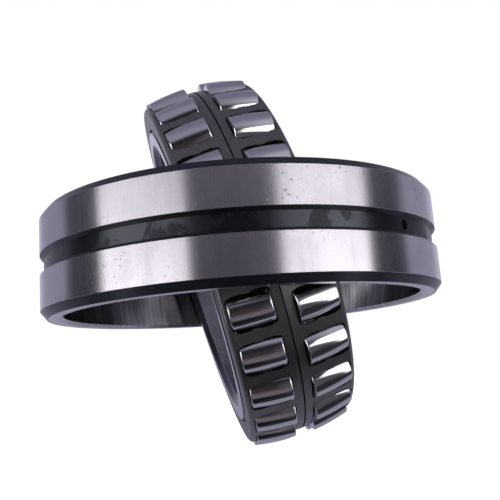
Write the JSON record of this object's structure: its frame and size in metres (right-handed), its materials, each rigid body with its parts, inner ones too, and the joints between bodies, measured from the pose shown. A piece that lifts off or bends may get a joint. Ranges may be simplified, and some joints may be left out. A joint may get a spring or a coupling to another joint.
{
  "type": "spherical roller bearing",
  "caption": "Double-row spherical roller bearing with window cages and a lubrication groove, its inner wheel swivelled out of the outer ring.",
  "frame": {"origin": "centre of the spherical raceway, midway between the outer ring's side faces", "axes": "+Z along the outer ring's axis, +Y along the axis that the wheel swivels about"},
  "size_m": [0.18, 0.18, 0.1669],
  "materials": {
    "outer_ring_steel": "ground, satin",
    "inner_ring_steel": "ground, satin",
    "guide_ring_steel": "ground, satin",
    "cage_steel": "dark phosphated pressed steel, matt",
    "roller_steel": "superfinished, mirror polished"
  },
  "bodies": {
    "outer_ring": {"outer_ring": "outer_ring_steel"},
    "guide_ring": {"guide_ring": "guide_ring_steel"},
    "inner_ring": {"inner_ring": "inner_ring_steel"},
    "cage_near": {"cage_near": "cage_steel"},
    "cage_far": {"cage_far": "cage_steel"},
    "near_roller_01": {"near_roller_01": "roller_steel"},
    "near_roller_02": {"near_roller_02": "roller_steel"},
    "near_roller_03": {"near_roller_03": "roller_steel"},
    "near_roller_04": {"near_roller_04": "roller_steel"},
    "near_roller_05": {"near_roller_05": "roller_steel"},
    "near_roller_06": {"near_roller_06": "roller_steel"},
    "near_roller_07": {"near_roller_07": "roller_steel"},
    "near_roller_08": {"near_roller_08": "roller_steel"},
    "near_roller_09": {"near_roller_09": "roller_steel"},
    "near_roller_10": {"near_roller_10": "roller_steel"},
    "near_roller_11": {"near_roller_11": "roller_steel"},
    "near_roller_12": {"near_roller_12": "roller_steel"},
    "near_roller_13": {"near_roller_13": "roller_steel"},
    "near_roller_14": {"near_roller_14": "roller_steel"},
    "near_roller_15": {"near_roller_15": "roller_steel"},
    "near_roller_16": {"near_roller_16": "roller_steel"},
    "near_roller_17": {"near_roller_17": "roller_steel"},
    "near_roller_18": {"near_roller_18": "roller_steel"},
    "near_roller_19": {"near_roller_19": "roller_steel"},
    "near_roller_20": {"near_roller_20": "roller_steel"},
    "near_roller_21": {"near_roller_21": "roller_steel"},
    "near_roller_22": {"near_roller_22": "roller_steel"},
    "near_roller_23": {"near_roller_23": "roller_steel"},
    "near_roller_24": {"near_roller_24": "roller_steel"},
    "near_roller_25": {"near_roller_25": "roller_steel"},
    "near_roller_26": {"near_roller_26": "roller_steel"},
    "far_roller_01": {"far_roller_01": "roller_steel"},
    "far_roller_02": {"far_roller_02": "roller_steel"},
    "far_roller_03": {"far_roller_03": "roller_steel"},
    "far_roller_04": {"far_roller_04": "roller_steel"},
    "far_roller_05": {"far_roller_05": "roller_steel"},
    "far_roller_06": {"far_roller_06": "roller_steel"},
    "far_roller_07": {"far_roller_07": "roller_steel"},
    "far_roller_08": {"far_roller_08": "roller_steel"},
    "far_roller_09": {"far_roller_09": "roller_steel"},
    "far_roller_10": {"far_roller_10": "roller_steel"},
    "far_roller_11": {"far_roller_11": "roller_steel"},
    "far_roller_12": {"far_roller_12": "roller_steel"},
    "far_roller_13": {"far_roller_13": "roller_steel"},
    "far_roller_14": {"far_roller_14": "roller_steel"},
    "far_roller_15": {"far_roller_15": "roller_steel"},
    "far_roller_16": {"far_roller_16": "roller_steel"},
    "far_roller_17": {"far_roller_17": "roller_steel"},
    "far_roller_18": {"far_roller_18": "roller_steel"},
    "far_roller_19": {"far_roller_19": "roller_steel"},
    "far_roller_20": {"far_roller_20": "roller_steel"},
    "far_roller_21": {"far_roller_21": "roller_steel"},
    "far_roller_22": {"far_roller_22": "roller_steel"},
    "far_roller_23": {"far_roller_23": "roller_steel"},
    "far_roller_24": {"far_roller_24": "roller_steel"},
    "far_roller_25": {"far_roller_25": "roller_steel"},
    "far_roller_26": {"far_roller_26": "roller_steel"}
  },
  "joints": [
    {"name": "swivel", "type": "hinge", "parent": "outer_ring", "child": "guide_ring", "pos_m": [0, 0, 0], "axis": [0, 1, 0], "range_deg": [-75.2, 14.8]},
    {"name": "inner_spin", "type": "hinge", "parent": "guide_ring", "child": "inner_ring", "pos_m": [0, 0, 0], "axis": [0.9668, 0, 0.2554], "continuous": true},
    {"name": "cage_near_spin", "type": "hinge", "parent": "guide_ring", "child": "cage_near", "pos_m": [0, 0, 0], "axis": [0.9668, 0, 0.2554], "continuous": true},
    {"name": "cage_far_spin", "type": "hinge", "parent": "guide_ring", "child": "cage_far", "pos_m": [0, 0, 0], "axis": [0.9668, 0, 0.2554], "continuous": true},
    {"name": "near_roller_01_spin", "type": "hinge", "parent": "cage_near", "child": "near_roller_01", "pos_m": [0.00801, 0.0003, -0.07558], "axis": [0.9944, 0.0006, 0.1054], "continuous": true},
    {"name": "near_roller_02_spin", "type": "hinge", "parent": "cage_near", "child": "near_roller_02", "pos_m": [0.00743, 0.01827, -0.0734], "axis": [0.9933, 0.037, 0.1098], "continuous": true},
    {"name": "near_roller_03_spin", "type": "hinge", "parent": "cage_near", "child": "near_roller_03", "pos_m": [0.00578, 0.03517, -0.06712], "axis": [0.9899, 0.0712, 0.1225], "continuous": true},
    {"name": "near_roller_04_spin", "type": "hinge", "parent": "cage_near", "child": "near_roller_04", "pos_m": [0.00313, 0.05004, -0.05712], "axis": [0.9846, 0.1013, 0.1428], "continuous": true},
    {"name": "near_roller_05_spin", "type": "hinge", "parent": "cage_near", "child": "near_roller_05", "pos_m": [-0.00034, 0.06199, -0.04397], "axis": [0.9775, 0.1255, 0.1694], "continuous": true},
    {"name": "near_roller_06_spin", "type": "hinge", "parent": "cage_near", "child": "near_roller_06", "pos_m": [-0.00445, 0.07034, -0.02843], "axis": [0.9692, 0.1425, 0.2009], "continuous": true},
    {"name": "near_roller_07_spin", "type": "hinge", "parent": "cage_near", "child": "near_roller_07", "pos_m": [-0.00894, 0.0746, -0.01142], "axis": [0.9601, 0.1511, 0.2353], "continuous": true},
    {"name": "near_roller_08_spin", "type": "hinge", "parent": "cage_near", "child": "near_roller_08", "pos_m": [-0.01357, 0.07453, 0.00609], "axis": [0.9507, 0.1509, 0.2708], "continuous": true},
    {"name": "near_roller_09_spin", "type": "hinge", "parent": "cage_near", "child": "near_roller_09", "pos_m": [-0.01805, 0.07013, 0.02307], "axis": [0.9416, 0.142, 0.3052], "continuous": true},
    {"name": "near_roller_10_spin", "type": "hinge", "parent": "cage_near", "child": "near_roller_10", "pos_m": [-0.02214, 0.06165, 0.03854], "axis": [0.9334, 0.1248, 0.3365], "continuous": true},
    {"name": "near_roller_11_spin", "type": "hinge", "parent": "cage_near", "child": "near_roller_11", "pos_m": [-0.02559, 0.04958, 0.0516], "axis": [0.9264, 0.1004, 0.363], "continuous": true},
    {"name": "near_roller_12_spin", "type": "hinge", "parent": "cage_near", "child": "near_roller_12", "pos_m": [-0.0282, 0.03464, 0.06149], "axis": [0.9211, 0.0702, 0.383], "continuous": true},
    {"name": "near_roller_13_spin", "type": "hinge", "parent": "cage_near", "child": "near_roller_13", "pos_m": [-0.02983, 0.01768, 0.06763], "axis": [0.9178, 0.0358, 0.3954], "continuous": true},
    {"name": "near_roller_14_spin", "type": "hinge", "parent": "cage_near", "child": "near_roller_14", "pos_m": [-0.03037, -0.0003, 0.06967], "axis": [0.9167, -0.0006, 0.3995], "continuous": true},
    {"name": "near_roller_15_spin", "type": "hinge", "parent": "cage_near", "child": "near_roller_15", "pos_m": [-0.02979, -0.01827, 0.06749], "axis": [0.9179, -0.037, 0.3951], "continuous": true},
    {"name": "near_roller_16_spin", "type": "hinge", "parent": "cage_near", "child": "near_roller_16", "pos_m": [-0.02813, -0.03517, 0.06122], "axis": [0.9212, -0.0712, 0.3824], "continuous": true},
    {"name": "near_roller_17_spin", "type": "hinge", "parent": "cage_near", "child": "near_roller_17", "pos_m": [-0.02549, -0.05004, 0.05121], "axis": [0.9266, -0.1013, 0.3622], "continuous": true},
    {"name": "near_roller_18_spin", "type": "hinge", "parent": "cage_near", "child": "near_roller_18", "pos_m": [-0.02201, -0.06199, 0.03806], "axis": [0.9336, -0.1255, 0.3355], "continuous": true},
    {"name": "near_roller_19_spin", "type": "hinge", "parent": "cage_near", "child": "near_roller_19", "pos_m": [-0.01791, -0.07034, 0.02253], "axis": [0.9419, -0.1425, 0.3041], "continuous": true},
    {"name": "near_roller_20_spin", "type": "hinge", "parent": "cage_near", "child": "near_roller_20", "pos_m": [-0.01341, -0.0746, 0.00551], "axis": [0.951, -0.1511, 0.2696], "continuous": true},
    {"name": "near_roller_21_spin", "type": "hinge", "parent": "cage_near", "child": "near_roller_21", "pos_m": [-0.00879, -0.07453, -0.012], "axis": [0.9604, -0.1509, 0.2342], "continuous": true},
    {"name": "near_roller_22_spin", "type": "hinge", "parent": "cage_near", "child": "near_roller_22", "pos_m": [-0.0043, -0.07013, -0.02898], "axis": [0.9695, -0.142, 0.1998], "continuous": true},
    {"name": "near_roller_23_spin", "type": "hinge", "parent": "cage_near", "child": "near_roller_23", "pos_m": [-0.00021, -0.06165, -0.04445], "axis": [0.9778, -0.1248, 0.1684], "continuous": true},
    {"name": "near_roller_24_spin", "type": "hinge", "parent": "cage_near", "child": "near_roller_24", "pos_m": [0.00324, -0.04958, -0.05751], "axis": [0.9848, -0.1004, 0.142], "continuous": true},
    {"name": "near_roller_25_spin", "type": "hinge", "parent": "cage_near", "child": "near_roller_25", "pos_m": [0.00585, -0.03464, -0.06739], "axis": [0.9901, -0.0702, 0.122], "continuous": true},
    {"name": "near_roller_26_spin", "type": "hinge", "parent": "cage_near", "child": "near_roller_26", "pos_m": [0.00747, -0.01768, -0.07354], "axis": [0.9933, -0.0358, 0.1095], "continuous": true},
    {"name": "far_roller_01_spin", "type": "hinge", "parent": "cage_far", "child": "far_roller_01", "pos_m": [0.03033, 0.00432, -0.06955], "axis": [0.9168, -0.0088, 0.3993], "continuous": true},
    {"name": "far_roller_02_spin", "type": "hinge", "parent": "cage_far", "child": "far_roller_02", "pos_m": [0.02951, 0.02214, -0.06644], "axis": [0.9184, -0.0448, 0.393], "continuous": true},
    {"name": "far_roller_03_spin", "type": "hinge", "parent": "cage_far", "child": "far_roller_03", "pos_m": [0.02763, 0.03868, -0.0593], "axis": [0.9223, -0.0783, 0.3786], "continuous": true},
    {"name": "far_roller_04_spin", "type": "hinge", "parent": "cage_far", "child": "far_roller_04", "pos_m": [0.02478, 0.05296, -0.04854], "axis": [0.928, -0.1073, 0.3568], "continuous": true},
    {"name": "far_roller_05_spin", "type": "hinge", "parent": "cage_far", "child": "far_roller_05", "pos_m": [0.02115, 0.06417, -0.03479], "axis": [0.9354, -0.13, 0.3289], "continuous": true},
    {"name": "far_roller_06_spin", "type": "hinge", "parent": "cage_far", "child": "far_roller_06", "pos_m": [0.01694, 0.07165, -0.01885], "axis": [0.9439, -0.1451, 0.2966], "continuous": true},
    {"name": "far_roller_07_spin", "type": "hinge", "parent": "cage_far", "child": "far_roller_07", "pos_m": [0.01239, 0.07497, -0.00164], "axis": [0.9531, -0.1518, 0.2618], "continuous": true},
    {"name": "far_roller_08_spin", "type": "hinge", "parent": "cage_far", "child": "far_roller_08", "pos_m": [0.00777, 0.07392, 0.01584], "axis": [0.9625, -0.1497, 0.2264], "continuous": true},
    {"name": "far_roller_09_spin", "type": "hinge", "parent": "cage_far", "child": "far_roller_09", "pos_m": [0.00335, 0.06858, 0.03257], "axis": [0.9714, -0.1389, 0.1925], "continuous": true},
    {"name": "far_roller_10_spin", "type": "hinge", "parent": "cage_far", "child": "far_roller_10", "pos_m": [-0.00061, 0.05926, 0.04758], "axis": [0.9794, -0.12, 0.1621], "continuous": true},
    {"name": "far_roller_11_spin", "type": "hinge", "parent": "cage_far", "child": "far_roller_11", "pos_m": [-0.00389, 0.04649, 0.05999], "axis": [0.9861, -0.0942, 0.137], "continuous": true},
    {"name": "far_roller_12_spin", "type": "hinge", "parent": "cage_far", "child": "far_roller_12", "pos_m": [-0.0063, 0.03102, 0.06909], "axis": [0.991, -0.0628, 0.1185], "continuous": true},
    {"name": "far_roller_13_spin", "type": "hinge", "parent": "cage_far", "child": "far_roller_13", "pos_m": [-0.00769, 0.01375, 0.07435], "axis": [0.9938, -0.0278, 0.1079], "continuous": true},
    {"name": "far_roller_14_spin", "type": "hinge", "parent": "cage_far", "child": "far_roller_14", "pos_m": [-0.00798, -0.00432, 0.07546], "axis": [0.9944, 0.0088, 0.1056], "continuous": true},
    {"name": "far_roller_15_spin", "type": "hinge", "parent": "cage_far", "child": "far_roller_15", "pos_m": [-0.00716, -0.02214, 0.07235], "axis": [0.9927, 0.0448, 0.1119], "continuous": true},
    {"name": "far_roller_16_spin", "type": "hinge", "parent": "cage_far", "child": "far_roller_16", "pos_m": [-0.00527, -0.03868, 0.06521], "axis": [0.9889, 0.0783, 0.1264], "continuous": true},
    {"name": "far_roller_17_spin", "type": "hinge", "parent": "cage_far", "child": "far_roller_17", "pos_m": [-0.00243, -0.05296, 0.05445], "axis": [0.9831, 0.1073, 0.1482], "continuous": true},
    {"name": "far_roller_18_spin", "type": "hinge", "parent": "cage_far", "child": "far_roller_18", "pos_m": [0.0012, -0.06417, 0.0407], "axis": [0.9758, 0.13, 0.176], "continuous": true},
    {"name": "far_roller_19_spin", "type": "hinge", "parent": "cage_far", "child": "far_roller_19", "pos_m": [0.00542, -0.07165, 0.02475], "axis": [0.9672, 0.1451, 0.2083], "continuous": true},
    {"name": "far_roller_20_spin", "type": "hinge", "parent": "cage_far", "child": "far_roller_20", "pos_m": [0.00997, -0.07497, 0.00754], "axis": [0.958, 0.1518, 0.2432], "continuous": true},
    {"name": "far_roller_21_spin", "type": "hinge", "parent": "cage_far", "child": "far_roller_21", "pos_m": [0.01458, -0.07392, -0.00994], "axis": [0.9487, 0.1497, 0.2786], "continuous": true},
    {"name": "far_roller_22_spin", "type": "hinge", "parent": "cage_far", "child": "far_roller_22", "pos_m": [0.019, -0.06858, -0.02667], "axis": [0.9397, 0.1389, 0.3125], "continuous": true},
    {"name": "far_roller_23_spin", "type": "hinge", "parent": "cage_far", "child": "far_roller_23", "pos_m": [0.02297, -0.05926, -0.04167], "axis": [0.9317, 0.12, 0.3429], "continuous": true},
    {"name": "far_roller_24_spin", "type": "hinge", "parent": "cage_far", "child": "far_roller_24", "pos_m": [0.02625, -0.04649, -0.05409], "axis": [0.925, 0.0942, 0.368], "continuous": true},
    {"name": "far_roller_25_spin", "type": "hinge", "parent": "cage_far", "child": "far_roller_25", "pos_m": [0.02865, -0.03102, -0.06319], "axis": [0.9202, 0.0628, 0.3864], "continuous": true},
    {"name": "far_roller_26_spin", "type": "hinge", "parent": "cage_far", "child": "far_roller_26", "pos_m": [0.03004, -0.01375, -0.06844], "axis": [0.9174, 0.0278, 0.3971], "continuous": true}
  ],
  "couplings": [
    {"joint": "cage_near_spin", "follows": "inner_spin", "ratio": 0.45066},
    {"joint": "cage_far_spin", "follows": "inner_spin", "ratio": 0.45066},
    {"joint": "near_roller_01_spin", "follows": "inner_spin", "ratio": -4.9589},
    {"joint": "near_roller_02_spin", "follows": "inner_spin", "ratio": -4.9589},
    {"joint": "near_roller_03_spin", "follows": "inner_spin", "ratio": -4.9589},
    {"joint": "near_roller_04_spin", "follows": "inner_spin", "ratio": -4.9589},
    {"joint": "near_roller_05_spin", "follows": "inner_spin", "ratio": -4.9589},
    {"joint": "near_roller_06_spin", "follows": "inner_spin", "ratio": -4.9589},
    {"joint": "near_roller_07_spin", "follows": "inner_spin", "ratio": -4.9589},
    {"joint": "near_roller_08_spin", "follows": "inner_spin", "ratio": -4.9589},
    {"joint": "near_roller_09_spin", "follows": "inner_spin", "ratio": -4.9589},
    {"joint": "near_roller_10_spin", "follows": "inner_spin", "ratio": -4.9589},
    {"joint": "near_roller_11_spin", "follows": "inner_spin", "ratio": -4.9589},
    {"joint": "near_roller_12_spin", "follows": "inner_spin", "ratio": -4.9589},
    {"joint": "near_roller_13_spin", "follows": "inner_spin", "ratio": -4.9589},
    {"joint": "near_roller_14_spin", "follows": "inner_spin", "ratio": -4.9589},
    {"joint": "near_roller_15_spin", "follows": "inner_spin", "ratio": -4.9589},
    {"joint": "near_roller_16_spin", "follows": "inner_spin", "ratio": -4.9589},
    {"joint": "near_roller_17_spin", "follows": "inner_spin", "ratio": -4.9589},
    {"joint": "near_roller_18_spin", "follows": "inner_spin", "ratio": -4.9589},
    {"joint": "near_roller_19_spin", "follows": "inner_spin", "ratio": -4.9589},
    {"joint": "near_roller_20_spin", "follows": "inner_spin", "ratio": -4.9589},
    {"joint": "near_roller_21_spin", "follows": "inner_spin", "ratio": -4.9589},
    {"joint": "near_roller_22_spin", "follows": "inner_spin", "ratio": -4.9589},
    {"joint": "near_roller_23_spin", "follows": "inner_spin", "ratio": -4.9589},
    {"joint": "near_roller_24_spin", "follows": "inner_spin", "ratio": -4.9589},
    {"joint": "near_roller_25_spin", "follows": "inner_spin", "ratio": -4.9589},
    {"joint": "near_roller_26_spin", "follows": "inner_spin", "ratio": -4.9589},
    {"joint": "far_roller_01_spin", "follows": "inner_spin", "ratio": -4.9589},
    {"joint": "far_roller_02_spin", "follows": "inner_spin", "ratio": -4.9589},
    {"joint": "far_roller_03_spin", "follows": "inner_spin", "ratio": -4.9589},
    {"joint": "far_roller_04_spin", "follows": "inner_spin", "ratio": -4.9589},
    {"joint": "far_roller_05_spin", "follows": "inner_spin", "ratio": -4.9589},
    {"joint": "far_roller_06_spin", "follows": "inner_spin", "ratio": -4.9589},
    {"joint": "far_roller_07_spin", "follows": "inner_spin", "ratio": -4.9589},
    {"joint": "far_roller_08_spin", "follows": "inner_spin", "ratio": -4.9589},
    {"joint": "far_roller_09_spin", "follows": "inner_spin", "ratio": -4.9589},
    {"joint": "far_roller_10_spin", "follows": "inner_spin", "ratio": -4.9589},
    {"joint": "far_roller_11_spin", "follows": "inner_spin", "ratio": -4.9589},
    {"joint": "far_roller_12_spin", "follows": "inner_spin", "ratio": -4.9589},
    {"joint": "far_roller_13_spin", "follows": "inner_spin", "ratio": -4.9589},
    {"joint": "far_roller_14_spin", "follows": "inner_spin", "ratio": -4.9589},
    {"joint": "far_roller_15_spin", "follows": "inner_spin", "ratio": -4.9589},
    {"joint": "far_roller_16_spin", "follows": "inner_spin", "ratio": -4.9589},
    {"joint": "far_roller_17_spin", "follows": "inner_spin", "ratio": -4.9589},
    {"joint": "far_roller_18_spin", "follows": "inner_spin", "ratio": -4.9589},
    {"joint": "far_roller_19_spin", "follows": "inner_spin", "ratio": -4.9589},
    {"joint": "far_roller_20_spin", "follows": "inner_spin", "ratio": -4.9589},
    {"joint": "far_roller_21_spin", "follows": "inner_spin", "ratio": -4.9589},
    {"joint": "far_roller_22_spin", "follows": "inner_spin", "ratio": -4.9589},
    {"joint": "far_roller_23_spin", "follows": "inner_spin", "ratio": -4.9589},
    {"joint": "far_roller_24_spin", "follows": "inner_spin", "ratio": -4.9589},
    {"joint": "far_roller_25_spin", "follows": "inner_spin", "ratio": -4.9589},
    {"joint": "far_roller_26_spin", "follows": "inner_spin", "ratio": -4.9589}
  ]
}
